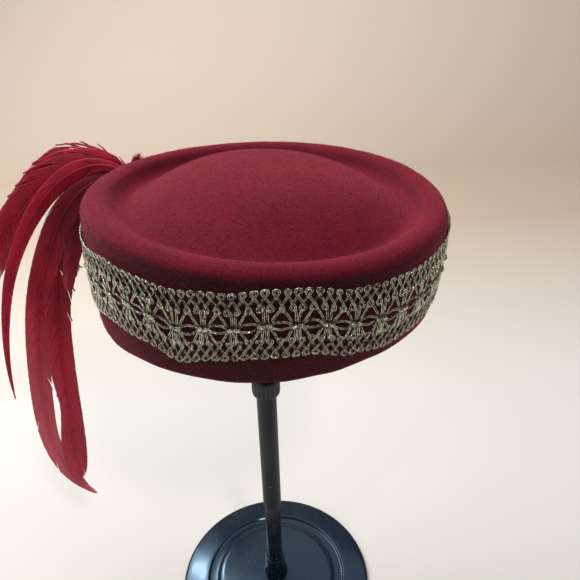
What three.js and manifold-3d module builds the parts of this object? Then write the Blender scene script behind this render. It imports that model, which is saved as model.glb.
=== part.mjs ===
// Pillbox hat of wine-red felt with a metal braid and a feather plume, on a plain telescopic hat stand.
// Millimetres, +Z up. The origin is the middle of the stand's underside, and -Y is the front.

import * as THREE from 'three';
import { mergeVertices } from 'three/addons/utils/BufferGeometryUtils.js';
import Module from 'manifold-3d';

const wasm = await Module();
wasm.setup();

// Driving sizes of the stand

const GAP = 0.3;
const BASE_DIAMETER = 152;
const BASE_EDGE_HEIGHT = 4.5;
const BASE_FLANGE_RISE = 2;
const BASE_CENTRE_HEIGHT = 10;
const BASE_SEAT_DIAMETER = 24;
const RING_DIAMETER = 102;
const RING_WIDTH = 10;
const RING_DEPTH = 1.2;
const RING_SLOPE = { outer: 1.5, inner: 2, floor: 0.3 };
const BASE_FOOT_BEVEL = 1;
const BASE_TOP_BEVEL = { across: 1.4, down: 1.2 };
const PLATEAU_LIP = { across: 2.5, rise: 0.5 };

const SOCKET_HEIGHT = 21;
const SOCKET_FOOT_DIAMETER = 19;
const SOCKET_WALL = 1.3;
const SOCKET_BEAD = 0.5;
const SOCKET_MOUTH_BEVEL = 0.6;

// Heights on the socket as shares of its own height: top of the foot, start of the neck, the bead
const SOCKET_LEVELS = { foot: 0.12, neck: 0.45, underBead: 0.8, bead: 0.84 };

const LOWER_TUBE_DIAMETER = 11.8;
const UPPER_TUBE_DIAMETER = 13.4;
const UPPER_TUBE_START = 93;
const TUBE_ENGAGEMENT = 45;
const TUBE_MOUTH_BEVEL = 1;
const COLLAR_START = 204;
const COLLAR_HEIGHT = 13;
const COLLAR_LIP = 4;
const COLLAR_DIAMETER = 18.7;
const COLLAR_RIBS = 20;
const RIB_DEPTH = 0.6;
const COLLAR_TAPER_HEIGHT = 3;
const COLLAR_TOP_BEVEL = 1.5;
const COLLAR_RIM = 1;

const ROD_DIAMETER = 9.6;
const ROD_HIDDEN_LENGTH = 30;
const STAND_HEIGHT = 357.3;
const PAD_DIAMETER = 84;
const PAD_DROP = 9;
const PAD_THICKNESS = 5;
const PAD_HUB_DIAMETER = 18;
const PAD_HUB_DEPTH = 14;
const PAD_BORE_COVER = 5;

// Driving sizes of the hat, measured from the middle of its lower edge

const FELT = 2.2;
const RIM_DIAMETER = 191.6;
const WALL_HEIGHT = 53.5;
const WALL_TAPER = 2.4;
const WALL_TAPER_POWER = 2.6;
const RIM_ROLL_RADIUS = 7.8;
const RIM_ROLL_TURN = 135;
const CHANNEL_DIAMETER = 148;
const CHANNEL_HEIGHT = 52.5;
const CROWN_HEIGHT = 75;
const CROWN_FLATNESS = 3;
const CROWN_EASE = 1.25;
const HAT_SHIFT = 3.1;
const HAT_LEAN_SIDE = 2.56;
const HAT_LEAN_FRONT = -1.15;

// How far the felt is out of round, and how far its rim waves, as shares of the rim's radius
const OUT_OF_ROUND = { cos: 0.013, sin: -0.007 };
const RIM_WAVE = { cos: 0.009, sin: 0.0123 };

// Lift of the lower edge round the hat, as a share of the wall's height
const EDGE_COURSE = [
  { turn: -180, lift: -0.045 },
  { turn: -150, lift: -0.06 },
  { turn: -130, lift: 0.0 },
  { turn: -105, lift: 0.025 },
  { turn: -90, lift: 0.046 },
  { turn: -75, lift: 0.084 },
  { turn: -60, lift: 0.125 },
  { turn: -45, lift: 0.14 },
  { turn: -30, lift: 0.125 },
  { turn: 0, lift: 0.15 },
  { turn: 40, lift: 0.16 },
  { turn: 80, lift: 0.115 },
  { turn: 120, lift: 0.045 },
  { turn: 150, lift: -0.01 },
];

// The braid: a pattern of linked stars, open on both sides of each link

const BRAID_WIDTH = 36;
const BRAID_THICKNESS = 1.2;
const BRAID_MOTIFS = 44;
const BORDER_WIDTH = 10;
const LINK_WIDTH = 2.6;
const HUB_WIDTH = 7.3;
const GAP_TAPER = 0.72;
const GAP_BLOCK_DEPTH = 6;

// The braid's course round the wall: the height of its middle as a share of the wall's height,
// and its width, pulled or crowded, as a share of the braid's own width
const BRAID_COURSE = [
  { turn: -180, middle: 0.52, width: 0.96 },
  { turn: -157, middle: 0.545, width: 0.95 },
  { turn: -143, middle: 0.61, width: 0.94 },
  { turn: -128, middle: 0.6, width: 0.96 },
  { turn: -117, middle: 0.548, width: 1.07 },
  { turn: -105, middle: 0.617, width: 0.985 },
  { turn: -90, middle: 0.685, width: 1.0 },
  { turn: -80, middle: 0.695, width: 0.985 },
  { turn: -68, middle: 0.626, width: 1.025 },
  { turn: -55, middle: 0.597, width: 1.09 },
  { turn: -45, middle: 0.612, width: 1.05 },
  { turn: -30, middle: 0.65, width: 1.04 },
  { turn: 0, middle: 0.65, width: 1.0 },
  { turn: 60, middle: 0.62, width: 1.0 },
  { turn: 120, middle: 0.58, width: 1.0 },
];

// The plume: lengths and widths are shares of its longest and its widest feather.
// Each feather leaves the head at "rise" degrees above level, heads from "from" to "to" degrees
// round the hat and comes down at "fall" degrees, sooner with a larger "arc". Its "hook" turns it
// further down, and nearer to the tip with a larger "late".

const PLUME_LENGTH = 315;
const FEATHER_WIDTH = 23;
const FEATHER_THICKNESS = 1.6;
const PLUME_TURN = 143.5;
const PLUME_HEIGHT = 43;
const PLUME_HEAD_DIAMETER = 9;
const PLUME_HEAD_LENGTH = 24;
const PLUME_HEAD_SIDES = 12;
const PLUME_FACE = { x: 0.35, y: -0.85, z: 0.35 };

// The bound head's section from its foot up: shares of its radius and of its length from the root
const PLUME_HEAD_SHAPE = [
  { radius: 0.6, level: -1 },
  { radius: 1, level: -0.6 },
  { radius: 1, level: -0.15 },
  { radius: 0.7, level: 0.1 },
];

// A vane's width: the quill's share of it, how soon it is fully open and how square its tip is
const VANE = { quill: 0.12, open: 0.2, square: 14 };
const FEATHERS = [
  {
    long: 0.775, wide: 1.0, tip: 0.8, from: 171, to: 174,
    rise: 82, fall: -40, arc: 9.9, hook: -28, late: 1.5,
  },
  {
    long: 0.537, wide: 0.8, tip: 0.6, from: 157, to: 202,
    rise: 86, fall: -49, arc: 4.8, hook: -22, late: 4.8,
  },
  {
    long: 0.752, wide: 0.58, tip: 0.4, from: 189, to: 178,
    rise: 70, fall: -52, arc: 8.2, hook: -37, late: 1.5,
  },
  {
    long: 1.0, wide: 0.71, tip: 0.75, from: 200, to: 159,
    rise: 40, fall: -80, arc: 7.6, hook: -90, late: 9,
  },
  {
    long: 0.794, wide: 0.62, tip: 0.85, from: 179, to: 291,
    rise: 21, fall: -80, arc: 6.8, hook: 31, late: 8.6,
  },
  {
    long: 0.292, wide: 0.36, tip: 0.6, from: 177, to: 273,
    rise: 68, fall: -59, arc: 8.5, hook: 38, late: 9.2,
  },
];

// Fineness of the round shapes

const FELT_SEGMENTS = 54;
const DISC_SEGMENTS = 48;
const TUBE_SEGMENTS = 20;
const BLADE_STEPS = 13;

const felt = material(0x7c1a2b, 0.95, 0);
const thread = material(0x8d8560, 0.42, 0.75);
const feather = material(0xb01224, 0.6, 0);
const gloss = material(0x10161f, 0.15, 0);
const matt = material(0x2c2f30, 0.6, 0);

function material(color, roughness, metalness) {
  return new THREE.MeshStandardMaterial({ color, roughness, metalness });
}

function named(name, geometry, finish) {
  const mesh = new THREE.Mesh(geometry, finish);
  mesh.name = name;
  return mesh;
}

// A closed solid with shared corners and no flat slivers where a profile meets its axis
function closed(geometry) {
  const bare = geometry.clone();
  bare.deleteAttribute('normal');
  bare.deleteAttribute('uv');
  const merged = mergeVertices(bare, 1e-4);
  const index = merged.index.array;
  const kept = [];
  for (let i = 0; i < index.length; i += 3) {
    const [a, b, c] = index.slice(i, i + 3);
    if (a !== b && b !== c && c !== a) kept.push(a, b, c);
  }
  merged.setIndex(kept);
  return merged;
}

// A profile of [radius, height] points turned about the upright axis
function turned(profile, segments) {
  const points = profile.map(([radius, height]) => new THREE.Vector2(radius, height));
  return closed(new THREE.LatheGeometry(points, segments).rotateX(Math.PI / 2));
}

// Moves each corner of a turned solid: place(turn, radius, height) gives its new position
function reshaped(geometry, place) {
  const position = geometry.attributes.position;
  for (let i = 0; i < position.count; i += 1) {
    const x = position.getX(i);
    const y = position.getY(i);
    const moved = place(Math.atan2(y, x), Math.hypot(x, y), position.getZ(i));
    position.setXYZ(i, moved.x, moved.y, moved.z);
  }
  return geometry;
}

function toManifold(geometry) {
  const merged = closed(geometry);
  return new wasm.Manifold(new wasm.Mesh({
    numProp: 3,
    vertProperties: Float32Array.from(merged.attributes.position.array),
    triVerts: Uint32Array.from(merged.index.array),
  }));
}

function fromManifold(solid) {
  const mesh = solid.getMesh();
  const geometry = new THREE.BufferGeometry();
  geometry.setAttribute('position', new THREE.BufferAttribute(mesh.vertProperties, 3));
  geometry.setIndex(new THREE.BufferAttribute(mesh.triVerts, 1));
  return geometry;
}

// A smooth value read from a table whose rows go once round the hat
function roundTheHat(rows, column, turn) {
  const degrees = THREE.MathUtils.radToDeg(turn);
  const count = rows.length;
  const wrapped = ((degrees + 180) % 360 + 360) % 360 - 180;
  let row = count - 1;
  while (row > 0 && rows[row].turn > wrapped) row -= 1;
  const next = (row + 1) % count;
  const span = (rows[next].turn - rows[row].turn + 360) % 360;
  const share = (wrapped - rows[row].turn) / span;
  const ease = share * share * (3 - 2 * share);
  return rows[row][column] + (rows[next][column] - rows[row][column]) * ease;
}

// Stand

function standBase() {
  const edge = BASE_DIAMETER / 2;
  const outer = RING_DIAMETER / 2 + RING_WIDTH / 2;
  const inner = RING_DIAMETER / 2 - RING_WIDTH / 2;
  const flange = BASE_EDGE_HEIGHT + BASE_FLANGE_RISE;
  const floor = flange - RING_DEPTH;
  const plateau = (flange + BASE_CENTRE_HEIGHT) / 2;
  return turned([
    [0, 0],
    [edge - BASE_FOOT_BEVEL, 0],
    [edge, BASE_FOOT_BEVEL],
    [edge, BASE_EDGE_HEIGHT - BASE_TOP_BEVEL.down],
    [edge - BASE_TOP_BEVEL.across, BASE_EDGE_HEIGHT],
    [outer, flange],
    [outer - RING_SLOPE.outer, floor],
    [inner + RING_SLOPE.inner, floor + RING_SLOPE.floor],
    [inner, plateau],
    [inner - PLATEAU_LIP.across, plateau + PLATEAU_LIP.rise],
    [BASE_SEAT_DIAMETER / 2, BASE_CENTRE_HEIGHT],
    [0, BASE_CENTRE_HEIGHT],
  ], DISC_SEGMENTS);
}

function footSocket() {
  const bore = LOWER_TUBE_DIAMETER / 2 + GAP;
  const neck = bore + SOCKET_WALL;
  const foot = SOCKET_FOOT_DIAMETER / 2;
  const bottom = BASE_CENTRE_HEIGHT + GAP;
  const top = bottom + SOCKET_HEIGHT;
  return turned([
    [bore, bottom],
    [foot, bottom],
    [foot, bottom + SOCKET_HEIGHT * SOCKET_LEVELS.foot],
    [neck, bottom + SOCKET_HEIGHT * SOCKET_LEVELS.neck],
    [neck, bottom + SOCKET_HEIGHT * SOCKET_LEVELS.underBead],
    [neck + SOCKET_BEAD, bottom + SOCKET_HEIGHT * SOCKET_LEVELS.bead],
    [neck + SOCKET_BEAD, top - SOCKET_MOUTH_BEVEL],
    [neck, top],
    [bore, top],
    [bore, bottom],
  ], TUBE_SEGMENTS);
}

function lowerTube() {
  const radius = LOWER_TUBE_DIAMETER / 2;
  const bottom = BASE_CENTRE_HEIGHT + GAP;
  const top = UPPER_TUBE_START + TUBE_ENGAGEMENT;
  return turned([[0, bottom], [radius, bottom], [radius, top], [0, top]], TUBE_SEGMENTS);
}

function upperTube() {
  const outer = UPPER_TUBE_DIAMETER / 2;
  const bore = LOWER_TUBE_DIAMETER / 2 + GAP;
  const top = COLLAR_START + COLLAR_HEIGHT - COLLAR_LIP - GAP;
  return turned([
    [bore, UPPER_TUBE_START],
    [(bore + outer) / 2, UPPER_TUBE_START],
    [outer, UPPER_TUBE_START + TUBE_MOUTH_BEVEL],
    [outer, top],
    [bore, top],
    [bore, UPPER_TUBE_START],
  ], TUBE_SEGMENTS);
}

function lockingCollar() {
  const outer = COLLAR_DIAMETER / 2;
  const sleeve = UPPER_TUBE_DIAMETER / 2 + GAP;
  const bore = ROD_DIAMETER / 2 + GAP;
  const top = COLLAR_START + COLLAR_HEIGHT;
  const ribbed = turned([
    [sleeve, COLLAR_START],
    [sleeve + COLLAR_RIM, COLLAR_START],
    [outer, COLLAR_START + COLLAR_TAPER_HEIGHT],
    [outer, top - COLLAR_TOP_BEVEL],
    [outer - COLLAR_TOP_BEVEL, top],
    [bore, top],
    [bore, top - COLLAR_LIP],
    [sleeve, top - COLLAR_LIP],
    [sleeve, COLLAR_START],
  ], COLLAR_RIBS * 2);
  return reshaped(ribbed, (turn, radius, height) => {
    const groove = RIB_DEPTH * (1 - Math.cos(COLLAR_RIBS * turn)) / 2;
    const onTheGrip = radius > outer - RIB_DEPTH / 10;
    const cut = onTheGrip ? radius - groove : radius;
    return new THREE.Vector3(cut * Math.cos(turn), cut * Math.sin(turn), height);
  });
}

function innerRod() {
  const radius = ROD_DIAMETER / 2;
  const bottom = COLLAR_START + COLLAR_HEIGHT - ROD_HIDDEN_LENGTH;
  const top = STAND_HEIGHT - PAD_BORE_COVER - GAP;
  return turned([[0, bottom], [radius, bottom], [radius, top], [0, top]], TUBE_SEGMENTS);
}

function crownPad() {
  const edge = PAD_DIAMETER / 2;
  const bore = ROD_DIAMETER / 2 + GAP;
  const hub = PAD_HUB_DIAMETER / 2;
  const dome = (share) => [edge * share, STAND_HEIGHT - PAD_DROP * share * share];
  const under = (share) => [dome(share)[0], dome(share)[1] - PAD_THICKNESS];
  return turned([
    [0, STAND_HEIGHT - PAD_BORE_COVER],
    [bore, STAND_HEIGHT - PAD_BORE_COVER],
    [bore, STAND_HEIGHT - PAD_BORE_COVER - PAD_HUB_DEPTH],
    [hub, STAND_HEIGHT - PAD_BORE_COVER - PAD_HUB_DEPTH],
    [hub, under(0.3)[1]],
    under(0.65),
    under(0.96),
    [edge, dome(1)[1] - PAD_THICKNESS / 2],
    dome(0.97),
    dome(0.75),
    dome(0.45),
    dome(0),
  ], DISC_SEGMENTS / 2);
}

// Hat

const rimRadius = RIM_DIAMETER / 2;

// Outer radius of the wall and of the outer half of the rim's roll, at a height above the lower edge
function wallRadius(height) {
  const above = Math.min(height - WALL_HEIGHT, RIM_ROLL_RADIUS);
  if (above > 0) return rimRadius - RIM_ROLL_RADIUS + Math.sqrt(RIM_ROLL_RADIUS ** 2 - above ** 2);
  return rimRadius - WALL_TAPER * (1 - height / WALL_HEIGHT) ** WALL_TAPER_POWER;
}

// The felt's outer outline, from the middle of the crown down to the lower edge
function feltOutline() {
  const channel = CHANNEL_DIAMETER / 2;
  const crown = [0, 0.3, 0.5, 0.68, 0.83, 0.93].map((share) => [
    channel * share,
    CHANNEL_HEIGHT + (CROWN_HEIGHT - CHANNEL_HEIGHT) * (1 - share ** CROWN_FLATNESS) ** CROWN_EASE,
  ]);
  const rollAt = (degrees) => {
    const turn = THREE.MathUtils.degToRad(degrees);
    return [
      rimRadius - RIM_ROLL_RADIUS + RIM_ROLL_RADIUS * Math.cos(turn),
      WALL_HEIGHT + RIM_ROLL_RADIUS * Math.sin(turn),
    ];
  };
  const roll = [1, 0.78, 0.55, 0.32, 0].map((share) => rollAt(RIM_ROLL_TURN * share));
  const [endRadius, endHeight] = roll[0];
  const reach = (endRadius - channel) / 2;
  const slope = new THREE.CubicBezierCurve(
    new THREE.Vector2(channel, CHANNEL_HEIGHT),
    new THREE.Vector2(channel + reach, CHANNEL_HEIGHT),
    new THREE.Vector2(endRadius - reach / 2, endHeight - reach / 2),
    new THREE.Vector2(endRadius, endHeight),
  );
  const valley = slope.getPoints(3).slice(0, -1).map((point) => [point.x, point.y]);
  const wall = [0.65, 0.3, 0].map((share) => [wallRadius(WALL_HEIGHT * share), WALL_HEIGHT * share]);
  return [...crown, ...valley, ...roll, ...wall];
}

// The same outline one felt thickness further in
function feltLining(outline) {
  return outline.map(([radius, height], i) => {
    const [r0, z0] = outline[Math.max(i - 1, 0)];
    const [r1, z1] = outline[Math.min(i + 1, outline.length - 1)];
    const run = Math.hypot(r1 - r0, z1 - z0);
    if (radius === 0) return [0, height - FELT];
    return [radius + FELT * (z1 - z0) / run, height - FELT * (r1 - r0) / run];
  });
}

// The felt isn't quite round, its rim waves a little and its lower edge rises and falls
function settled(turn, radius, height) {
  const round = 1 + OUT_OF_ROUND.cos * Math.cos(2 * turn) + OUT_OF_ROUND.sin * Math.sin(2 * turn);
  const wave = rimRadius * (RIM_WAVE.cos * Math.cos(2 * turn) + RIM_WAVE.sin * Math.sin(2 * turn));
  const down = THREE.MathUtils.clamp(1 - height / WALL_HEIGHT, 0, 1);
  const out = THREE.MathUtils.clamp(2 * radius / rimRadius - 1, 0, 1);
  const lift = down * WALL_HEIGHT * roundTheHat(EDGE_COURSE, 'lift', turn) + (1 - down) * out * wave;
  return new THREE.Vector3(
    radius * round * Math.cos(turn),
    radius * round * Math.sin(turn),
    height + lift,
  );
}

function feltBody() {
  const outline = feltOutline();
  const profile = [...feltLining(outline), ...outline.reverse()];
  return reshaped(turned(profile, FELT_SEGMENTS), settled);
}

// A point off the outer side of the wall. The height is above the level of a straight lower edge,
// so it is put back to the height that the wall would have if its edge hadn't moved.
function offTheWall(turn, height, offset) {
  const lift = WALL_HEIGHT * roundTheHat(EDGE_COURSE, 'lift', turn);
  const unmoved = (height - lift) / (1 - lift / WALL_HEIGHT);
  return settled(turn, wallRadius(unmoved) + offset, unmoved);
}

// A point of the braid: across runs from 0 at its foot to 1 at its top
function onTheBraid(turn, across, offset) {
  const middle = WALL_HEIGHT * roundTheHat(BRAID_COURSE, 'middle', turn);
  const width = BRAID_WIDTH * roundTheHat(BRAID_COURSE, 'width', turn);
  return offTheWall(turn, middle + width * (across - 0.5), GAP + offset);
}

// One gap beside a link: widest next to the link, narrower at the border. The side is 1 above the
// link and -1 below it.
function braidGap(turn, side) {
  const across = (distance) => 0.5 + side * distance / BRAID_WIDTH;
  const near = LINK_WIDTH / 2;
  const far = BRAID_WIDTH / 2 - BORDER_WIDTH;
  const pitch = 2 * Math.PI * rimRadius / BRAID_MOTIFS;
  const half = (pitch - HUB_WIDTH) / 2;
  const low = onTheBraid(turn, across(near), 0);
  const high = onTheBraid(turn, across(far), 0);
  const up = high.clone().sub(low);
  const height = up.length();
  const outline = new THREE.Shape([
    new THREE.Vector2(-half, 0),
    new THREE.Vector2(half, 0),
    new THREE.Vector2(half * GAP_TAPER, height),
    new THREE.Vector2(-half * GAP_TAPER, height),
  ]);
  const depth = BRAID_THICKNESS * GAP_BLOCK_DEPTH;
  const block = new THREE.ExtrudeGeometry(outline, { depth, bevelEnabled: false });
  const outward = new THREE.Vector3(Math.cos(turn), Math.sin(turn), 0);
  const upward = up.normalize();
  const along = new THREE.Vector3().crossVectors(upward, outward).normalize();
  const through = new THREE.Vector3().crossVectors(along, upward);
  const start = low.clone().addScaledVector(through, -depth / 2);
  const place = new THREE.Matrix4().makeBasis(along, upward, through).setPosition(start);
  return block.applyMatrix4(place);
}

function braidBand() {
  const inner = rimRadius;
  const outer = rimRadius + BRAID_THICKNESS;
  const ring = turned([
    [inner, 0],
    [outer, 0],
    [outer, BRAID_WIDTH / 2],
    [outer, BRAID_WIDTH],
    [inner, BRAID_WIDTH],
    [inner, BRAID_WIDTH / 2],
    [inner, 0],
  ], BRAID_MOTIFS * 2);
  const band = reshaped(ring, (turn, radius, height) => (
    onTheBraid(turn, height / BRAID_WIDTH, radius - rimRadius)
  ));
  let solid = toManifold(band);
  for (let motif = 0; motif < BRAID_MOTIFS; motif += 1) {
    const turn = (motif + 0.25) * 2 * Math.PI / BRAID_MOTIFS;
    for (const side of [1, -1]) {
      solid = solid.subtract(toManifold(braidGap(turn, side)));
    }
  }
  return fromManifold(solid);
}

// Plume

// Points and directions along a feather's shaft, from the head to the tip
function featherCourse(row, root) {
  const fine = 4;
  const steps = BLADE_STEPS * fine;
  const stride = row.long * PLUME_LENGTH / steps;
  const at = root.clone();
  const course = [];
  for (let i = 0; i <= steps; i += 1) {
    const along = i / steps;
    const arched = row.rise + (row.fall - row.rise) * (1 - (1 - along) ** row.arc);
    const slope = arched + row.hook * along ** row.late;
    const pitch = THREE.MathUtils.degToRad(slope);
    const heading = THREE.MathUtils.degToRad(row.from + (row.to - row.from) * along);
    const direction = new THREE.Vector3(
      Math.cos(pitch) * Math.cos(heading),
      Math.cos(pitch) * Math.sin(heading),
      Math.sin(pitch),
    );
    if (i % fine === 0) course.push({ point: at.clone(), direction });
    at.addScaledVector(direction, stride);
  }
  return course;
}

// A feather's width along its length: a bare quill, then the vane, which narrows to a rounded tip
function vaneShare(row, along) {
  const last = 0.998;
  const open = THREE.MathUtils.smoothstep(along, 0, VANE.open);
  const narrowing = 1 - (1 - row.tip) * along * along;
  const rounding = Math.sqrt(1 - Math.min(along, last) ** VANE.square);
  return (VANE.quill + (1 - VANE.quill) * open) * narrowing * rounding;
}

// A four-sided blade that follows the shaft, with its flat side to the front
function featherBlade(row, root) {
  const course = featherCourse(row, root);
  const face = new THREE.Vector3(PLUME_FACE.x, PLUME_FACE.y, PLUME_FACE.z).normalize();
  const blade = new THREE.CylinderGeometry(1, 1, 1, 4, BLADE_STEPS);
  const position = blade.attributes.position;
  for (let i = 0; i < position.count; i += 1) {
    const step = Math.round((position.getY(i) + 0.5) * BLADE_STEPS);
    const { point, direction } = course[step];
    const wide = new THREE.Vector3().crossVectors(direction, face).normalize();
    const deep = new THREE.Vector3().crossVectors(wide, direction);
    const share = vaneShare(row, step / BLADE_STEPS);
    const half = share * row.wide * FEATHER_WIDTH / 2;
    const thick = FEATHER_THICKNESS / 2 * Math.sqrt(share);
    const moved = point.clone().addScaledVector(wide, half * position.getX(i));
    moved.addScaledVector(deep, thick * position.getZ(i));
    position.setXYZ(i, moved.x, moved.y, moved.z);
  }
  return blade;
}

// The head is a bound bundle of quills that lies upright on the braid
function plumeHead(root) {
  const radius = PLUME_HEAD_DIAMETER / 2;
  const side = PLUME_HEAD_SHAPE.map((row) => [radius * row.radius, PLUME_HEAD_LENGTH * row.level]);
  const foot = [0, side[0][1]];
  const top = [0, side[side.length - 1][1]];
  const head = turned([foot, ...side, top], PLUME_HEAD_SIDES);
  return head.translate(root.x, root.y, root.z);
}

function featherPlume(root) {
  let solid = toManifold(plumeHead(root));
  for (const row of FEATHERS) {
    solid = solid.add(toManifold(featherBlade(row, root)));
  }
  return fromManifold(solid);
}

// How far one mesh can come down before it rests on another, found from the corners of both
function restingDrop(upper, lower) {
  const ray = new THREE.Raycaster();
  const reach = STAND_HEIGHT * 4;
  const corner = new THREE.Vector3();
  let drop = Infinity;
  for (const [from, onto, direction] of [[lower, upper, 1], [upper, lower, -1]]) {
    const position = from.geometry.attributes.position;
    for (let i = 0; i < position.count; i += 1) {
      corner.fromBufferAttribute(position, i).applyMatrix4(from.matrixWorld);
      ray.set(corner, new THREE.Vector3(0, 0, direction));
      ray.far = reach;
      const hits = ray.intersectObject(onto, false);
      if (hits.length > 0) drop = Math.min(drop, hits[0].distance);
    }
  }
  return drop;
}

const stand = new THREE.Group();
stand.add(
  named('stand_base', standBase(), gloss),
  named('foot_socket', footSocket(), gloss),
  named('lower_tube', lowerTube(), gloss),
  named('upper_tube', upperTube(), matt),
  named('locking_collar', lockingCollar(), matt),
  named('inner_rod', innerRod(), gloss),
);
const pad = named('crown_pad', crownPad(), matt);
stand.add(pad);

const hat = new THREE.Group();
const body = named('felt_body', feltBody(), felt);
hat.add(body, named('braid_band', braidBand(), thread));
hat.rotation.set(
  THREE.MathUtils.degToRad(HAT_LEAN_FRONT),
  THREE.MathUtils.degToRad(HAT_LEAN_SIDE),
  0,
);

// The hat starts above the stand and comes down until its crown is one gap off the pad
hat.position.set(HAT_SHIFT, 0, STAND_HEIGHT);
hat.updateMatrixWorld(true);
body.material.side = THREE.DoubleSide;
hat.position.z += GAP - restingDrop(body, pad);
hat.updateMatrixWorld(true);

// The plume's head lies on the braid, one gap off it. The feathers hang in the upright frame.
const plumeTurn = THREE.MathUtils.degToRad(PLUME_TURN);
const headOffset = GAP + BRAID_THICKNESS + GAP + PLUME_HEAD_DIAMETER / 2;
const plumeRoot = hat.localToWorld(offTheWall(plumeTurn, PLUME_HEIGHT, headOffset));
const plume = named('feather_plume', featherPlume(plumeRoot), feather);

const group = new THREE.Group();
group.add(stand, hat, plume);

export default group;
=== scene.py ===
# A wine-red felt pillbox hat with a metal braid and a feather plume, on a plain telescopic stand.
# Sizes are in millimetres of the real hat, the frame is in metres, +Z is up and -Y is the front.
import math

import bpy
import numpy as np
from mathutils import Matrix


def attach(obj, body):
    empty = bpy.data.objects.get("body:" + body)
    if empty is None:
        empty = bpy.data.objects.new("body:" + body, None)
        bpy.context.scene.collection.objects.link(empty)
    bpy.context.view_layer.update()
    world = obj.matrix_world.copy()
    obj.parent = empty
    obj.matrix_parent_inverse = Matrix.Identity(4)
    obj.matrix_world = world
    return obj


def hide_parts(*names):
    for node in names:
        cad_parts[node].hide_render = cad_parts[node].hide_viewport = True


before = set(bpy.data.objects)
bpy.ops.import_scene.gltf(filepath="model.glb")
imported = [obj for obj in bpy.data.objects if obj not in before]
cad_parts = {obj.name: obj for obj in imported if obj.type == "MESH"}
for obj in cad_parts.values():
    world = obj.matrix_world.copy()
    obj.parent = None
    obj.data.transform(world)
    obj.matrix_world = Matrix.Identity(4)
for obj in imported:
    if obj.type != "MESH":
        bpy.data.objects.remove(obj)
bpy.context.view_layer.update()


# Camera. It is held above the rim, a hand's breadth in front of the hat, and looks down past the
# crown to the foot of the stand.
PICTURE_SIDE = 580
FOCAL_LENGTH_IN_PIXELS = 605
SENSOR_WIDTH = 36
CAMERA_PLACE = (0.0, -0.3059, 0.4700)
CAMERA_RIGHT = (0.99732721, -0.06990456, -0.02125537)
CAMERA_UP = (0.05470348, 0.52155589, 0.85146167)
CAMERA_FORWARD = (0.04843519, 0.85034864, -0.52398591)


def aimed(right, up, forward, place):
    """Where a camera or a lamp stands that looks along forward."""
    return Matrix([
        [right[i], up[i], -forward[i], place[i]] for i in range(3)
    ] + [[0, 0, 0, 1]])


lens = bpy.data.cameras.new("camera")
lens.sensor_width = SENSOR_WIDTH
lens.lens = SENSOR_WIDTH * FOCAL_LENGTH_IN_PIXELS / PICTURE_SIDE
lens.clip_start = 0.01
camera = bpy.data.objects.new("camera", lens)
bpy.context.scene.collection.objects.link(camera)
camera.matrix_world = aimed(CAMERA_RIGHT, CAMERA_UP, CAMERA_FORWARD, CAMERA_PLACE)
bpy.context.scene.camera = camera


# Light. Daylight comes from a wide window at the back left, and the pale room gives the rest. The
# picture keeps plain photographic contrast, so that the dark reds stay deep.
ROOM_COLOUR = (0.92, 0.96, 1.0)
ROOM_STRENGTH = 0.15
FAR_WALL_COLOUR = (0.66, 0.62, 0.57)
# name, place in metres, point that it faces, width and height in metres, watts, colour
LAMPS = [
    ("window", (-0.72, 0.62, 1.30), (0.0, 0.05, 0.25), 1.0, 0.8, 17.0, (0.98, 0.98, 1.0)),
    ("ceiling", (0.45, 0.45, 1.90), (0.1, 0.1, 0.0), 2.4, 1.7, 14.0, (0.88, 0.93, 1.0)),
    ("low_window", (-1.15, 0.1, 0.5), (0.0, 0.0, 0.1), 0.35, 0.5, 1.6, (0.80, 0.90, 1.0)),
    ("window_pane", (-0.39, 0.70, 0.93), (-0.06, 0.0, 0.0), 0.07, 0.10, 1.5, (0.62, 0.84, 1.0)),
    ("room_front", (0.30, -0.80, 1.40), (0.0, 0.0, 0.3), 0.15, 0.15, 4.0, (1.0, 0.96, 0.90)),
    ("room_side", (-0.85, -0.85, 0.95), (0.0, 0.0, 0.3), 0.2, 0.3, 1.6, (0.90, 0.95, 1.0)),
]

bpy.context.scene.view_settings.view_transform = "Standard"
room = bpy.data.worlds.new("room")
bpy.context.scene.world = room
room.use_nodes = True
room_light = room.node_tree.nodes["Background"]
room_light.inputs["Color"].default_value = (*ROOM_COLOUR, 1)
room_light.inputs["Strength"].default_value = ROOM_STRENGTH
far_wall = room.node_tree.nodes.new("ShaderNodeBackground")
far_wall.inputs["Color"].default_value = (*FAR_WALL_COLOUR, 1)
seen = room.node_tree.nodes.new("ShaderNodeLightPath")
room_mix = room.node_tree.nodes.new("ShaderNodeMixShader")
for source, target in (
    (seen.outputs["Is Camera Ray"], room_mix.inputs[0]),
    (room_light.outputs[0], room_mix.inputs[1]),
    (far_wall.outputs[0], room_mix.inputs[2]),
    (room_mix.outputs[0], room.node_tree.nodes["World Output"].inputs["Surface"]),
):
    room.node_tree.links.new(source, target)
for name, place, target, width, height, watts, colour in LAMPS:
    light = bpy.data.lights.new(name, "AREA")
    light.shape = "RECTANGLE"
    light.size, light.size_y = width, height
    light.energy = watts
    light.color = colour
    lamp = bpy.data.objects.new(name, light)
    lamp.visible_camera = False
    bpy.context.scene.collection.objects.link(lamp)
    forward = np.subtract(target, place) / np.linalg.norm(np.subtract(target, place))
    side = np.cross(forward, (0, 0, 1))
    side /= np.linalg.norm(side)
    lamp.matrix_world = aimed(side, np.cross(side, forward), forward, place)


# Table and backdrop. One sheet of matt paper lies under the stand and sweeps up behind it: cream in
# front, tan some way behind the stand, and paler again where it rises.
PAPER_HALF_WIDTH = 2600
PAPER_FRONT = -2600
PAPER_FLAT_END = 900
PAPER_SWEEP_RADIUS = 900
PAPER_TOP = 2400
PAPER_CREAM = (0.82, 0.768, 0.696)
PAPER_TAN = (0.64, 0.505, 0.38)
PAPER_FAR = (0.93, 0.78, 0.65)
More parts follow.
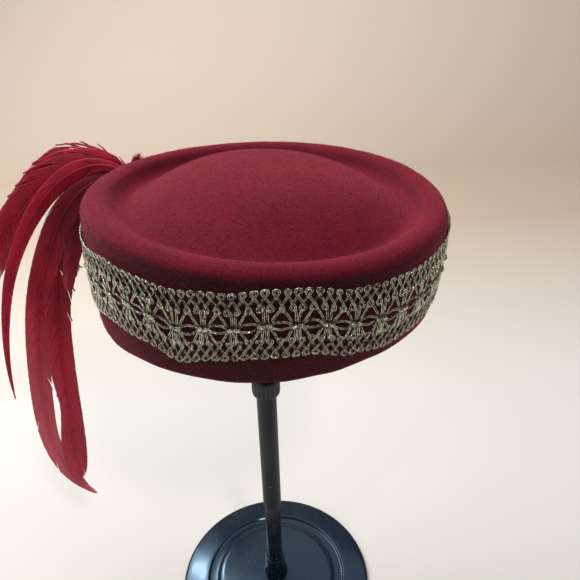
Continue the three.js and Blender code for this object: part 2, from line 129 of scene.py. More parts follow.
# metres behind the stand between which the sheet turns tan, and then pale
PAPER_WARMS = (0.22, 0.68)
PAPER_PALES = (0.95, 1.55)


class Tone:
    """One output of a shader node, which takes part in sums."""

    def __init__(self, finish, socket):
        self.finish = finish
        self.socket = socket

    def reckon(self, operation, first, second):
        return self.finish.node("ShaderNodeMath", {"operation": operation}, {0: first, 1: second})

    def __add__(self, other):
        return self.reckon("ADD", self, other)

    def __radd__(self, other):
        return self.reckon("ADD", other, self)

    def __sub__(self, other):
        return self.reckon("SUBTRACT", self, other)

    def __rsub__(self, other):
        return self.reckon("SUBTRACT", other, self)

    def __mul__(self, other):
        return self.reckon("MULTIPLY", self, other)

    def __rmul__(self, other):
        return self.reckon("MULTIPLY", other, self)


class Finish:
    """A material whose colour, gloss and relief are written as sums of tones."""

    def __init__(self, name, constants):
        self.material = bpy.data.materials.new(name)
        self.material.use_nodes = True
        self.tree = self.material.node_tree
        self.shader = self.tree.nodes["Principled BSDF"]
        for label, value in constants.items():
            self.feed(self.shader.inputs[label], value)

    def feed(self, socket, value):
        if isinstance(value, Tone):
            self.tree.links.new(value.socket, socket)
        elif socket.type == "RGBA":
            socket.default_value = (*value, 1)
        else:
            socket.default_value = value

    def node(self, kind, settings, inputs, output=0):
        made = self.tree.nodes.new(kind)
        for name, value in settings.items():
            setattr(made, name, value)
        for key, value in inputs.items():
            self.feed(made.inputs[key], value)
        return Tone(self, made.outputs[output])

    def grain(self, size, stretch=(1, 1, 1), detail=2, rough=0.5):
        """Noise whose lumps are about so many millimetres across, stretched along an axis."""
        place = self.node("ShaderNodeTexCoord", {}, {}, "Object")
        scale = tuple(1000 / (size * part) for part in stretch)
        place = self.node("ShaderNodeMapping", {}, {"Vector": place, "Scale": scale})
        return self.node("ShaderNodeTexNoise", {}, {
            "Vector": place, "Scale": 1, "Detail": detail, "Roughness": rough,
        })

    def over(self, tone, low, high, start=0.0, end=1.0):
        """The tone put on another scale: start at low, end at high, and flat beyond them."""
        return self.node("ShaderNodeMapRange", {}, {
            "Value": tone, "From Min": low, "From Max": high, "To Min": start, "To Max": end,
        })

    def axis(self, kind, output, axis):
        """One axis of a place or a direction on the surface."""
        vector = self.node(kind, {}, {}, output)
        return self.node("ShaderNodeSeparateXYZ", {}, {"Vector": vector}, axis)

    def blend(self, share, first, second):
        """A colour between two others."""
        return self.node("ShaderNodeMix", {"data_type": "RGBA"}, {0: share, 6: first, 7: second}, 2)

    def carried(self, name):
        """A tone that the mesh carries from point to point."""
        return self.node("ShaderNodeAttribute", {"attribute_name": name}, {}, "Fac")

    def relief(self, height, depth):
        """Raises the surface by so many millimetres where the tone goes from 0 to 1."""
        self.feed(self.shader.inputs["Normal"], self.node("ShaderNodeBump", {}, {
            "Height": height, "Strength": 1, "Distance": depth / 1000,
        }))

    def colour(self, tone):
        self.feed(self.shader.inputs["Base Color"], tone)

    def rough(self, tone):
        self.feed(self.shader.inputs["Roughness"], tone)


def piece(name, points, faces, finish, tones=None):
    """A smooth mesh from points in millimetres. The tones are numbers carried by its points."""
    mesh = bpy.data.meshes.new(name)
    mesh.from_pydata((np.asarray(points) / 1000).tolist(), [], [list(face) for face in faces])
    mesh.materials.append(finish.material)
    mesh.polygons.foreach_set("use_smooth", [True] * len(mesh.polygons))
    for label, values in (tones or {}).items():
        carried = mesh.attributes.new(label, "FLOAT", "POINT")
        carried.data.foreach_set("value", np.asarray(values, dtype=np.float32).ravel())
    mesh.update()
    made = bpy.data.objects.new(name, mesh)
    bpy.context.scene.collection.objects.link(made)
    return made


paper = Finish("matt_paper", {"Roughness": 0.85, "Specular IOR Level": 0.2})
paper_behind = paper.axis("ShaderNodeTexCoord", "Object", "Y")
paper_warmth = paper.over(paper_behind, *PAPER_WARMS)
paper_mottle = paper.grain(3, detail=3)
paper.colour(paper.blend(
    paper_warmth + (paper_mottle - 0.5) * 0.03, PAPER_CREAM,
    paper.blend(paper.over(paper_behind, *PAPER_PALES), PAPER_TAN, PAPER_FAR),
))
paper.relief(paper_mottle, 0.05)

paper_sweep = [
    (
        PAPER_FLAT_END + PAPER_SWEEP_RADIUS * math.sin(turn),
        PAPER_SWEEP_RADIUS * (1 - math.cos(turn)),
    )
    for turn in np.linspace(0, math.pi / 2, 24)
]
paper_course = [(PAPER_FRONT, 0), *paper_sweep, (paper_sweep[-1][0], PAPER_TOP)]
paper_points = [
    (side * PAPER_HALF_WIDTH, y, z) for y, z in paper_course for side in (-1, 1)
]
paper_faces = [(2 * i, 2 * i + 1, 2 * i + 3, 2 * i + 2) for i in range(len(paper_course) - 1)]
piece("paper_backdrop", paper_points, paper_faces, paper)


# Foot disc. A heavy round plate, moulded in one piece with a shallow ring round its raised middle,
# in glossy blue-black plastic that shows dust, faint swirls and finger marks.
BASE_RADIUS = 76
BASE_EDGE_HEIGHT = 4.5
BASE_HEIGHT = 10
# radius, height and rounding of each corner of its section, from the middle of the underside
BASE_SECTION = [
    (0, 0, 0), (75, 0, 0.8), (BASE_RADIUS, 1, 0.6), (BASE_RADIUS, 3.3, 0.9),
    (74.6, BASE_EDGE_HEIGHT, 1.0), (56, 6.5, 0.5), (54.5, 5.3, 0.7), (48, 5.6, 1.0),
    (46, 8.25, 0.8), (43.5, 8.75, 1.2), (12, BASE_HEIGHT, 1.0), (0, BASE_HEIGHT, 0),
]
GLOSS_BLACK = (0.0045, 0.0105, 0.0225)
GLOSS_DUST = (0.05, 0.06, 0.075)


def rounded(section, steps=5, longest=4):
    """The section's outline with each corner rounded off and its long runs cut up."""
    corners = np.array([corner[:2] for corner in section], dtype=float)
    outline = []
    for i, corner in enumerate(corners):
        reach = section[i][2]
        if reach == 0:
            outline.append(corner)
            continue
        before = corners[i - 1] - corner
        after = corners[(i + 1) % len(corners)] - corner
        before *= min(reach / np.linalg.norm(before), 0.49)
        after *= min(reach / np.linalg.norm(after), 0.49)
        for share in np.linspace(0, 1, steps):
            outline.append(corner + before * (1 - share) ** 2 + after * share ** 2)
    cut = []
    for i, start in enumerate(outline):
        end = outline[(i + 1) % len(outline)]
        parts = max(int(math.ceil(np.linalg.norm(end - start) / longest)), 1)
        if i == len(outline) - 1 and section[0][0] == 0:
            parts = 1
        cut += [start + (end - start) * part / parts for part in range(parts)]
    return np.array(cut)


def turned(outline, segments, place=None):
    """A closed mesh from an outline turned round the upright axis, with its faces outward."""
    turns = np.arange(segments) * 2 * math.pi / segments
    pole = [radius < 1e-6 for radius, _ in outline]
    points, first = [], []
    for i, (radius, height) in enumerate(outline):
        first.append(len(points))
        if pole[i]:
            points.append((0.0, 0.0, height))
        else:
            points += [(radius * math.cos(t), radius * math.sin(t), height) for t in turns]
    points = np.array(points)
    if place is not None:
        points = place(points)
    faces = []
    count = len(outline)
    for i in range(count - 1 if pole[0] else count):
        j = (i + 1) % count
        for k in range(segments):
            n = (k + 1) % segments
            if pole[i]:
                faces.append((first[i], first[j] + n, first[j] + k))
            elif pole[j]:
                faces.append((first[i] + k, first[i] + n, first[j]))
            else:
                faces.append((first[i] + k, first[i] + n, first[j] + n, first[j] + k))
    return points, outward(points, faces)


def outward(points, faces):
    """The faces, turned over if they enclose a negative volume."""
    volume = sum(
        np.dot(points[face[0]], np.cross(points[second], points[third]))
        for face in faces for second, third in zip(face[1:], face[2:])
    )
    return faces if volume > 0 else [tuple(reversed(face)) for face in faces]


gloss = Finish("gloss_black", {
    "Specular IOR Level": 0.42, "Specular Tint": (0.50, 0.76, 1.0),
    "Coat Weight": 0.12, "Coat Roughness": 0.06,
})
gloss_dust = gloss.over(gloss.grain(1.1, detail=2), 0.66, 0.74)
gloss_cloud = gloss.over(gloss.grain(28, detail=3), 0.35, 0.75)
gloss_swirl = gloss.grain(0.5, stretch=(14, 1, 1), detail=1)
gloss.colour(gloss.blend(gloss_dust * 0.55 + gloss_cloud * 0.1, GLOSS_BLACK, GLOSS_DUST))
gloss.rough(0.10 + gloss_cloud * 0.12 + gloss_dust * 0.35 + gloss_swirl * 0.05)
gloss.relief(gloss_dust * 0.6 + gloss_swirl * 0.12, 0.02)

base = piece("foot_disc", *turned(rounded(BASE_SECTION), segments=160), gloss)
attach(base, "root")
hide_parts("stand_base")


# Socket. A small flared cup, moulded apart and pressed on the middle of the disc, that grips the
# lower tube. It has a bead round its mouth.
SOCKET_BORE = 6.2
SOCKET_BOTTOM = 10.3
SOCKET_SECTION = [
    (SOCKET_BORE, SOCKET_BOTTOM, 0.3), (9.5, SOCKET_BOTTOM, 0.4), (9.5, 12.8, 0.8),
    (7.5, 19.8, 1.6), (7.5, 27.1, 0.3), (8.0, 27.9, 0.3), (8.0, 30.7, 0.5), (7.5, 31.3, 0.2),
    (SOCKET_BORE, 31.3, 0.2),
]

foot_socket = piece("foot_cup", *turned(rounded(SOCKET_SECTION), segments=64), gloss)
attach(foot_socket, "root")
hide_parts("foot_socket")


# Lower tube. Drawn steel tube with a stoved gloss black coat, thin scratches along it where the
# sleeve has been slid up and down.
LOWER_TUBE_RADIUS = 5.9
LOWER_TUBE_ENDS = (10.3, 138)
BARE_STEEL = (0.16, 0.165, 0.17)

stoved = Finish("stoved_gloss_black", {
    "Specular IOR Level": 0.5, "Coat Weight": 0.1, "Coat Roughness": 0.08,
})
stoved_scratch = stoved.over(stoved.grain(0.5, stretch=(1, 1, 40), detail=1), 0.68, 0.74)
stoved_cloud = stoved.over(stoved.grain(14, detail=3), 0.35, 0.75)
stoved.colour(stoved.blend(stoved_scratch * 0.22 + stoved_cloud * 0.06, GLOSS_BLACK, BARE_STEEL))
stoved.rough(0.16 + stoved_cloud * 0.14 + stoved_scratch * 0.25)
stoved.relief(stoved.grain(2.2, detail=2) * 0.5 - stoved_scratch * 0.5, 0.03)


def rod(radius, ends, chamfer):
    """The section of a round rod between two heights."""
    return rounded([
        (0, ends[0], 0), (radius, ends[0], chamfer), (radius, ends[1], chamfer), (0, ends[1], 0),
    ], longest=8)


lower_section = rod(LOWER_TUBE_RADIUS, LOWER_TUBE_ENDS, chamfer=0.3)
lower_tube = piece("lower_rod", *turned(lower_section, segments=56), stoved)
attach(lower_tube, "root")
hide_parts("lower_tube")


# Sleeve. A second steel tube that slides over the first, in a matt black coat with a few small
# chips, its lower end rolled in a little.
SLEEVE_SECTION = [
    (6.2, 93, 0.2), (6.45, 93, 0.15), (6.7, 94, 0.5), (6.7, 212.7, 0.2), (6.2, 212.7, 0.2),
]
MATT_BLACK = (0.0088, 0.0116, 0.0145)
MATT_WORN = (0.038, 0.043, 0.048)
CHIP_PRIMER = (0.19, 0.19, 0.185)

matt = Finish("matt_black", {"Specular IOR Level": 0.32})
matt_chip = matt.over(matt.grain(2.6, detail=3, rough=0.6), 0.715, 0.74)
matt_wear = matt.over(matt.grain(9, stretch=(1, 1, 5), detail=4), 0.45, 0.75)
matt_pebble = matt.grain(0.35, detail=1)
matt.colour(matt.blend(
    matt_chip, matt.blend(matt_wear * 0.7, MATT_BLACK, MATT_WORN), CHIP_PRIMER,
))
matt.rough(0.46 + matt_wear * 0.12 + matt_chip * 0.2)
matt.relief(matt_pebble * 0.35 - matt_chip * 0.9, 0.05)

sleeve_section = rounded(SLEEVE_SECTION, longest=6)
sleeve = piece("sliding_sleeve", *turned(sleeve_section, segments=56), matt)
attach(sleeve, "root")
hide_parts("upper_tube")


# Locking collar. A moulded nylon ring with twenty finger ribs, screwed down to hold the rod. Its
# lip covers the end of the sleeve.
COLLAR_RADIUS = 9.35
COLLAR_RIBS = 20
RIB_DEPTH = 0.75
RIB_ENDS = (204.2, 216.4)
RIB_FADE = (2.0, 1.0)
RIB_FLOOR = 8.2
COLLAR_SECTION = [
    (7.0, 203.4, 0.2), (8.7, 203.4, 0.2), (COLLAR_RADIUS, 204.8, 0.6), (COLLAR_RADIUS, 215.5, 0.4),
    (7.85, 217, 0.5), (5.1, 217, 0.3), (5.1, 213, 0.2), (7.0, 213, 0.2),
]
NYLON = (0.006, 0.0068, 0.0078)
NYLON_SCUFF = (0.022, 0.024, 0.026)


def ribbed(points):
    """Grooves pressed into the grip, deepest half way between two ribs."""
    turn = np.arctan2(points[:, 1], points[:, 0])
    radius = np.hypot(points[:, 0], points[:, 1])
    groove = (1 - np.cos(COLLAR_RIBS * turn)) / 2
    above = np.clip((points[:, 2] - RIB_ENDS[0]) / RIB_FADE[0], 0, 1)
    below = np.clip((RIB_ENDS[1] - points[:, 2]) / RIB_FADE[1], 0, 1)
    outer = np.clip((radius - RIB_FLOOR) / 0.9, 0, 1)
    cut = radius - RIB_DEPTH * groove ** 1.6 * (above * below) * outer
    return np.stack([cut * np.cos(turn), cut * np.sin(turn), points[:, 2]], axis=1)


nylon = Finish("matt_nylon", {"Specular IOR Level": 0.5})
nylon_scuff = nylon.over(nylon.grain(3, detail=4, rough=0.65), 0.5, 0.72)
nylon.colour(nylon.blend(nylon_scuff * 0.6, NYLON, NYLON_SCUFF))
nylon.rough(0.38 + nylon_scuff * 0.22)
nylon.relief(nylon.grain(0.5, detail=2), 0.03)

collar_section = rounded(COLLAR_SECTION, longest=1)
collar = piece("grip_collar", *turned(collar_section, segments=240, place=ribbed), nylon)
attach(collar, "root")
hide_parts("locking_collar")


# Inner rod. A slim stoved rod that comes out of the collar and carries the pad under the crown.
ROD_RADIUS = 4.8
ROD_ENDS = (187, 352)

rod_section = rod(ROD_RADIUS, ROD_ENDS, chamfer=0.4)
inner_rod = piece("extending_rod", *turned(rod_section, segments=48), stoved)
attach(inner_rod, "root")
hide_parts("inner_rod")


# Crown pad. A moulded cap on the rod's end that the crown rests on: domed on top with shallow
# rings that keep the hat from turning, hollow under its edge, with a hub for the rod.
PAD_TOP = 357.3
PAD_RADIUS = 42
PAD_DROP = 9
PAD_THICKNESS = 5
PAD_RINGS = 6
PAD_RING_DEPTH = 0.25
# radius and height down the hub's bore and up its side
PAD_HUB = [
    (0, 352.3), (5.1, 352.3), (5.1, 338.3), (8.7, 338.3), (9.0, 338.7), (9.0, 350.6), (9.6, 351.3),
]


def pad_dome(share):
    """Height of the pad's top at a share of its radius, without the rings."""
    return PAD_TOP - PAD_DROP * share * share


pad_top = [
    (
        PAD_RADIUS * share,
        pad_dome(share) - PAD_RING_DEPTH * (1 - math.cos(2 * math.pi * PAD_RINGS * share)) / 2,
    )
    for share in np.linspace(0.97, 0, 70)
]
# share of the radius, share at which the dome's height is taken, and drop below it
pad_edge = [
    (0.65, 0.65, PAD_THICKNESS), (0.94, 0.96, PAD_THICKNESS), (0.985, 0.985, PAD_THICKNESS * 0.85),
    (1, 1, PAD_THICKNESS / 2), (0.99, 0.985, 0.8),
]
pad_under = [
    *PAD_HUB, *((PAD_RADIUS * out, pad_dome(share) - drop) for out, share, drop in pad_edge),
]
pad_section = np.array(pad_under + pad_top)
crown_pad = piece("pad_under_crown", *turned(pad_section, segments=96), nylon)
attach(crown_pad, "root")
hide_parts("crown_pad")


# Felt body. One cone of fur felt, steamed over a block: upright wall, rolled rim, wide channel and
# domed crown. It is thick and soft, and its short nap catches the light along the rim.
FELT = 2.2
RIM_RADIUS = 95.8
WALL_HEIGHT = 53.5
WALL_TAPER = 2.4
WALL_TAPER_POWER = 2.6
ROLL_RADIUS = 7.8
ROLL_TURN = math.radians(135)
CHANNEL_RADIUS = 74
CHANNEL_HEIGHT = 52.5
CROWN_HEIGHT = 75
CROWN_FLATNESS = 3
CROWN_EASE = 1.25
HAT_PLACE = (3.1, 0, 284.79)
HAT_LEAN_SIDE = math.radians(2.56)
HAT_LEAN_FRONT = math.radians(-1.15)
FELT_SEGMENTS = 300
# span of the dents of handling in millimetres, their depth and the seed of their places
FELT_DENTS = [(46, 0.35, 3), (13, 0.1, 4)]
# shares of the cosine and the sine of twice the turn in the plan and in the rim's height
OUT_OF_ROUND = (0.013, -0.007)
RIM_WAVE = (0.009, 0.0123)
# turn in degrees, lift of the lower edge as a share of the wall's height
EDGE_COURSE = [
    (-180, -0.045), (-150, -0.06), (-130, 0.0), (-105, 0.025), (-90, 0.046), (-75, 0.084),
    (-60, 0.125), (-45, 0.14), (-30, 0.125), (0, 0.15), (40, 0.16), (80, 0.115), (120, 0.045),
    (150, -0.01),
]
# Two copies of the wine. The lighter one is painted light on the faces that look up, and the darker
# one is painted shade on the upright wall. Each has a deeper tone for its flecks. The last colour
# is pale rubbed lint.
WINE_PAINTED_LIT = (0.25, 0.0085, 0.026)
WINE_PAINTED_LIT_DEEP = (0.062, 0.0022, 0.0080)
WINE_PAINTED_SHADE = (0.036, 0.0042, 0.0075)
WINE_PAINTED_SHADE_DEEP = (0.012, 0.0022, 0.0035)
WINE_WORN = (0.34, 0.045, 0.07)


def round_the_hat(rows, turn, column=1):
    """A smooth value from rows of degrees and values that go once round the hat."""
    turns = np.array([row[0] for row in rows] + [rows[0][0] + 360.0])
    values = np.array([row[column] for row in rows] + [rows[0][column]])
    degrees = (np.degrees(turn) + 180) % 360 - 180
    row = np.clip(np.searchsorted(turns, degrees, side="right") - 1, 0, len(rows) - 1)
    share = (degrees - turns[row]) / (turns[row + 1] - turns[row])
    return values[row] + (values[row + 1] - values[row]) * share * share * (3 - 2 * share)


def wall_radius(height):
    """Radius of the wall's outer side, up to the widest turn of the rolled rim and over it."""
    above = np.clip(height - WALL_HEIGHT, 0, ROLL_RADIUS)
    roll = RIM_RADIUS - ROLL_RADIUS + np.sqrt(ROLL_RADIUS ** 2 - above ** 2)
    low = np.clip(1 - height / WALL_HEIGHT, 0, None)
    return np.where(above > 0, roll, RIM_RADIUS - WALL_TAPER * low ** WALL_TAPER_POWER)


def settled(turn, radius, height):
    """A point of the worn felt: not quite round, with a waving rim and a lower edge that lifts."""
    both = np.cos(2 * turn), np.sin(2 * turn)
    plan = radius * (1 + OUT_OF_ROUND[0] * both[0] + OUT_OF_ROUND[1] * both[1])
    wave = RIM_RADIUS * (RIM_WAVE[0] * both[0] + RIM_WAVE[1] * both[1])
    down = np.clip(1 - height / WALL_HEIGHT, 0, 1)
    out = np.clip(2 * radius / RIM_RADIUS - 1, 0, 1)
    lift = down * WALL_HEIGHT * round_the_hat(EDGE_COURSE, turn) + (1 - down) * out * wave
    return np.stack([plan * np.cos(turn), plan * np.sin(turn), height + lift], axis=-1)


def on_the_head(points):
    """From the hat's own frame to the stand's: the hat leans a little on its pad."""
    cf, sf = math.cos(HAT_LEAN_FRONT), math.sin(HAT_LEAN_FRONT)
    cs, ss = math.cos(HAT_LEAN_SIDE), math.sin(HAT_LEAN_SIDE)
    lean_front = np.array([[1, 0, 0], [0, cf, -sf], [0, sf, cf]])
    lean_side = np.array([[cs, 0, ss], [0, 1, 0], [-ss, 0, cs]])
    return points @ (lean_front @ lean_side).T + np.array(HAT_PLACE)


def felt_outline():
    """The felt's outer section, from the middle of the crown down to its lower edge."""
    share = np.linspace(0, 1, 30)[:-1] ** 0.9
    dome = (CROWN_HEIGHT - CHANNEL_HEIGHT) * (1 - share ** CROWN_FLATNESS) ** CROWN_EASE
    crown = np.stack([CHANNEL_RADIUS * share, CHANNEL_HEIGHT + dome], axis=1)
    turn = np.linspace(ROLL_TURN, 0, 24)
    roll = np.stack([
        RIM_RADIUS - ROLL_RADIUS + ROLL_RADIUS * np.cos(turn),
        WALL_HEIGHT + ROLL_RADIUS * np.sin(turn),
    ], axis=1)
    reach = (roll[0, 0] - CHANNEL_RADIUS) / 2
    handles = np.array([
        (CHANNEL_RADIUS, CHANNEL_HEIGHT), (CHANNEL_RADIUS + reach, CHANNEL_HEIGHT),
        (roll[0, 0] - reach / 2, roll[0, 1] - reach / 2), roll[0],
    ])
    along = np.linspace(0, 1, 14)[:-1, None]
    slope = (
        handles[0] * (1 - along) ** 3 + handles[1] * 3 * along * (1 - along) ** 2
        + handles[2] * 3 * along ** 2 * (1 - along) + handles[3] * along ** 3
    )
    height = np.linspace(WALL_HEIGHT, 0, 27)[1:]
    wall = np.stack([wall_radius(height), height], axis=1)
    return np.vstack([crown, slope, roll, wall])


def felt_section():
    """The whole section: outer face, rounded cut edge, and the inner face back to the middle."""
    outer = felt_outline()
    run = np.gradient(outer, axis=0)
    normal = np.stack([run[:, 1], -run[:, 0]], axis=1) / np.linalg.norm(run, axis=1)[:, None]
    normal[0] = (0, -1)
    inner = outer + normal * FELT
    inner[0, 0] = 0
    edge_middle = (outer[-1] + inner[-1]) / 2
    edge = [
        edge_middle + (FELT / 2) * np.array([math.cos(turn), 0.45 * math.sin(turn)])
        for turn in np.linspace(0, -math.pi, 7)[1:-1]
    ]
    return np.vstack([outer, edge, inner[::-1]])


def lumps(points, size, seed):
    """A smooth uneven value, about 0 and within 1, that changes over so many millimetres."""
    chance = np.random.default_rng(seed)
    total = np.zeros(len(points))
    waves = 7
    for _ in range(waves):
        way = chance.normal(size=3)
        way /= np.linalg.norm(way)
        span = size * chance.uniform(0.7, 1.5)
        total += np.sin(points @ way * 2 * math.pi / span + chance.uniform(0, 6.3))
    return total / waves


def worn_felt(points):
    """The turned section settled on the stand, with the faint dents of handling."""
    turn = np.arctan2(points[:, 1], points[:, 0])
    radius = np.hypot(points[:, 0], points[:, 1])
    moved = settled(turn, radius, points[:, 2])
    away = points / np.maximum(np.linalg.norm(points, axis=1)[:, None], 1)
    dents = sum(depth * lumps(points, span, seed) for span, depth, seed in FELT_DENTS)
    return on_the_head(moved + away * dents[:, None])


felt = Finish("wine_fur_felt", {
    "Roughness": 0.92, "Specular IOR Level": 0.18,
    "Sheen Weight": 0.64, "Sheen Roughness": 0.42, "Sheen Tint": (0.80, 0.12, 0.18),
})
felt_cloud = felt.over(felt.grain(19, detail=3), 0.32, 0.7)
felt_fleck = felt.over(felt.grain(1.0, detail=3, rough=0.75), 0.33, 0.67)
felt_fibre = felt.grain(0.4, detail=2, rough=0.7)
felt_lint = felt.over(felt.grain(1.5, detail=2), 0.735, 0.78)
# Painted light and shade: faces that look up take the lighter copy of the wine, as if lit from
# above, and upright faces take the darker copy.
felt_up = felt.axis("ShaderNodeNewGeometry", "Normal", "Z")
felt_painted_top_light = felt.over(felt_up, 0.28, 0.80)
felt_mottle = felt_fleck * 0.62 + felt_cloud * 0.2 + 0.13
felt.colour(felt.blend(
    felt_lint * 0.3 * felt_painted_top_light,
    felt.blend(
        felt_painted_top_light, felt.blend(felt_mottle, WINE_PAINTED_SHADE_DEEP, WINE_PAINTED_SHADE),
        felt.blend(felt_mottle, WINE_PAINTED_LIT_DEEP, WINE_PAINTED_LIT),
    ),
    WINE_WORN,
))
felt.relief(felt_fibre * 0.5 + felt_fleck * 0.5, 0.27)

felt_points, felt_faces = turned(felt_section(), FELT_SEGMENTS, worn_felt)
felt_body = piece("felt_hat", felt_points, felt_faces, felt)
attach(felt_body, "root")
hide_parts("felt_body")


# Nap. Loose ends of the fur that stand off the felt, most of them flat or slanted. Each is one
# closed sliver, so that the rim and the lower edge have a soft outline.
NAP_COUNT = 34000
NAP_LENGTH = (0.5, 1.5)
NAP_WIDTH = 0.12
NAP_SLANT = (0.35, 1.0)
NAP_ROOT = 0.15
NAP_PALE = (0.36, 0.03, 0.06)
NAP_DARK = (0.07, 0.004, 0.012)


def nap_slivers(points, faces):
    """Thin three-sided spikes with their feet in the felt."""
    chance = np.random.default_rng(11)
    outer_rows = len(felt_outline()) - 1
    quads = np.array([face for face in faces if len(face) == 4][:(outer_rows - 1) * FELT_SEGMENTS])
    corner = points[quads]
    normal = np.cross(corner[:, 2] - corner[:, 0], corner[:, 3] - corner[:, 1])
    area = np.linalg.norm(normal, axis=1)
    chosen = chance.choice(len(quads), NAP_COUNT, p=area / area.sum())
    normal = (normal / area[:, None])[chosen]
    u, v = chance.random((2, NAP_COUNT, 1))
    foot = (
        corner[chosen, 0] * (1 - u) * (1 - v) + corner[chosen, 1] * u * (1 - v)
        + corner[chosen, 2] * u * v + corner[chosen, 3] * (1 - u) * v
    )
    lay = chance.normal(size=(NAP_COUNT, 3))
    lay -= normal * np.sum(lay * normal, axis=1)[:, None]
    lay /= np.linalg.norm(lay, axis=1)[:, None]
    across = np.cross(normal, lay)
    length = chance.uniform(*NAP_LENGTH, (NAP_COUNT, 1))
    tip = foot + (normal * chance.uniform(*NAP_SLANT, (NAP_COUNT, 1)) + lay) * length * 0.7
    half = NAP_WIDTH / 2
    spikes = np.stack([
        foot - normal * NAP_ROOT + across * half, foot - normal * NAP_ROOT - across * half,
        foot - normal * 0.1 + normal * NAP_WIDTH * 1.6 - lay * half, tip,
    ], axis=1)
    first = np.arange(NAP_COUNT)[:, None, None] * 4
    sides = np.array([(0, 2, 1), (0, 1, 3), (1, 2, 3), (2, 0, 3)])[None]
    tone = np.repeat(chance.random(NAP_COUNT), 4)
    return spikes.reshape(-1, 3), (first + sides).reshape(-1, 3).tolist(), tone


nap = Finish("wine_nap", {
    "Roughness": 0.8, "Specular IOR Level": 0.15,
    "Sheen Weight": 0.4, "Sheen Roughness": 0.5, "Sheen Tint": (0.9, 0.2, 0.26),
})
nap.colour(nap.blend(nap.carried("tone") * 0.8 + nap.grain(1.2) * 0.2, NAP_DARK, NAP_PALE))

nap_points, nap_faces, nap_tone = nap_slivers(felt_points, felt_faces)
felt_nap = piece("felt_nap", nap_points, nap_faces, nap, {"tone": nap_tone})
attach(felt_nap, "root")


# Braid, its two borders. Pairs of metal-wrapped threads run to and fro across each border, and
# loop back on themselves at both edges, so that the loops of one row hang between the other's.
BRAID_MOTIFS = 44
BRAID_STAND_OFF = 0.3
THREAD_RADIUS = 0.24
THREAD_SIDES = 4
THREAD_PAIR = 0.38
LOOPS_PER_MOTIF = 3
BORDER_MIDDLE = 12.4
BORDER_REACH = 5.2
OUTER_LOOP = 1.9
INNER_LOOP = 1.6
LOOP_ROUNDNESS = 0.12
LOOP_POINTS = 20
LOOP_START = 0.2
# how far a border thread stands off the felt, and how much more at its bends and its crossings
THREAD_REST = 0.75
THREAD_ARCH = 0.4
THREAD_CROSSING = 0.24
# uneven handwork, in millimetres: the loops' bulge, their place, and the threads under them
BULGE_UNEVEN = 0.16
PLACE_UNEVEN = 0.22
CORE_UNEVEN = 0.15
# two threads under each border: level from its middle, and how far they swing
CORE_THREADS = [(-3.3, 0.35), (-0.4, 0.8)]
CORE_REST = 0.25
# turn in degrees, height of the braid's middle as a share of the wall's height, and width of the
# braid as a share of its usual width
BRAID_COURSE = [
    (-180, 0.52, 0.96), (-157, 0.545, 0.95), (-143, 0.61, 0.94), (-128, 0.6, 0.96),
    (-117, 0.548, 1.07), (-105, 0.617, 0.985), (-90, 0.685, 1.0), (-80, 0.695, 0.985),
    (-68, 0.626, 1.025), (-55, 0.597, 1.09), (-45, 0.612, 1.05), (-30, 0.65, 1.04),
    (0, 0.65, 1.0), (60, 0.62, 1.0), (120, 0.58, 1.0),
]
GILT = (0.96, 0.88, 0.58)
# dark tarnish, which also serves as painted shade on the threads that lie low
GILT_TARNISH_AND_SHADE = (0.028, 0.026, 0.018)
# silver flecks that stand in for glints on the metal: painted highlights
GILT_SILVER_GLINT = (1.0, 0.98, 0.90)


def off_the_wall(turn, height, offset):
    """A point off the outer side of the wall, in the hat's frame."""
    lift = WALL_HEIGHT * round_the_hat(EDGE_COURSE, turn)
    unmoved = (height - lift) / (1 - lift / WALL_HEIGHT)
    return settled(turn, wall_radius(unmoved) + offset, unmoved)


def on_the_braid(run, rise, offset):
    """A point of the braid: millimetres along it, above its middle, and off the felt."""
    turn = run / RIM_RADIUS
    middle = WALL_HEIGHT * round_the_hat(BRAID_COURSE, turn)
    spread = round_the_hat(BRAID_COURSE, turn, column=2)
    return on_the_head(off_the_wall(turn, middle + spread * rise, BRAID_STAND_OFF + offset))


def tube(centre, away, radius, sides, closed=False):
    """A round thread along a course of points. The away vectors point off what it lies on."""
    if closed:
        run = np.roll(centre, -1, axis=0) - np.roll(centre, 1, axis=0)
    else:
        run = np.gradient(centre, axis=0)
    run /= np.linalg.norm(run, axis=1)[:, None]
    side = np.cross(run, away)
    side /= np.linalg.norm(side, axis=1)[:, None]
    away = np.cross(side, run)
    turn = np.arange(sides) * 2 * math.pi / sides
    radius = np.broadcast_to(radius, len(centre))[:, None, None]
    ring = radius * (
        side[:, None] * np.cos(turn)[None, :, None] + away[:, None] * np.sin(turn)[None, :, None]
    )
    points = (centre[:, None] + ring).reshape(-1, 3)
    count = len(centre)
    i, k = np.meshgrid(np.arange(count if closed else count - 1), np.arange(sides), indexing="ij")
    j, n = (i + 1) % count, (k + 1) % sides
    quads = np.stack([i * sides + k, j * sides + k, j * sides + n, i * sides + n], axis=-1)
    faces = quads.reshape(-1, 4).tolist()
    if not closed:
        faces += [list(range(sides)), [(count - 1) * sides + k for k in reversed(range(sides))]]
    return points, faces


